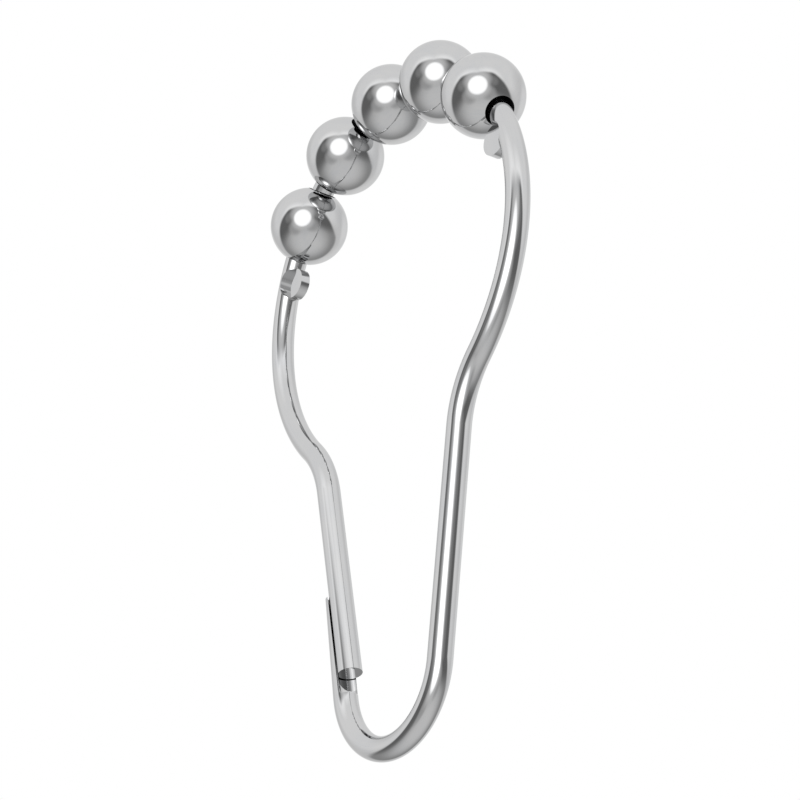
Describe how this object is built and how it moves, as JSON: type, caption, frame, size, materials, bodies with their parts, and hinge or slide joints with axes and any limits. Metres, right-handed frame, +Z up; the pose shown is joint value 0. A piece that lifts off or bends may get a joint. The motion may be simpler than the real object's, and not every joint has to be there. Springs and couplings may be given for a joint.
{
  "type": "shower curtain hook",
  "caption": "Bent metal ring with rolling balls on its top arc, which hangs a shower curtain from a rod and snaps shut in a grooved wire end.",
  "frame": {"origin": "centre of the large top arc, in the ring's own plane, where the middle of the curtain rod comes", "axes": "+Z up, from the bottom bend to the top of the arc; +X towards the closed leg, so the leg that opens is on -X; +Y along the curtain rod"},
  "size_m": [0.046, 0.009, 0.0793],
  "materials": {
    "plated_wire": "polished chrome plating on drawn steel wire",
    "plated_balls": "polished chrome plating on bored steel balls"
  },
  "bodies": {
    "ring": {"wire_ring": "plated_wire"},
    "roller_1": {"ball_1": "plated_balls"},
    "roller_2": {"ball_2": "plated_balls"},
    "roller_3": {"ball_3": "plated_balls"},
    "roller_4": {"ball_4": "plated_balls"},
    "roller_5": {"ball_5": "plated_balls"}
  },
  "joints": [
    {"name": "ball_1_roll", "type": "hinge", "parent": "ring", "child": "roller_1", "pos_m": [0.01662, 0, 0.01353], "axis": [0.6315, 0, -0.7754], "continuous": true},
    {"name": "ball_2_roll", "type": "hinge", "parent": "ring", "child": "roller_2", "pos_m": [0.0092, 0, 0.01936], "axis": [0.9032, 0, -0.4293], "continuous": true},
    {"name": "ball_3_roll", "type": "hinge", "parent": "ring", "child": "roller_3", "pos_m": [0, 0, 0.02143], "axis": [1, 0, 0], "continuous": true},
    {"name": "ball_4_roll", "type": "hinge", "parent": "ring", "child": "roller_4", "pos_m": [-0.0092, 0, 0.01936], "axis": [0.9032, 0, 0.4293], "continuous": true},
    {"name": "ball_5_roll", "type": "hinge", "parent": "ring", "child": "roller_5", "pos_m": [-0.01662, 0, 0.01353], "axis": [0.6315, 0, 0.7754], "continuous": true}
  ]
}
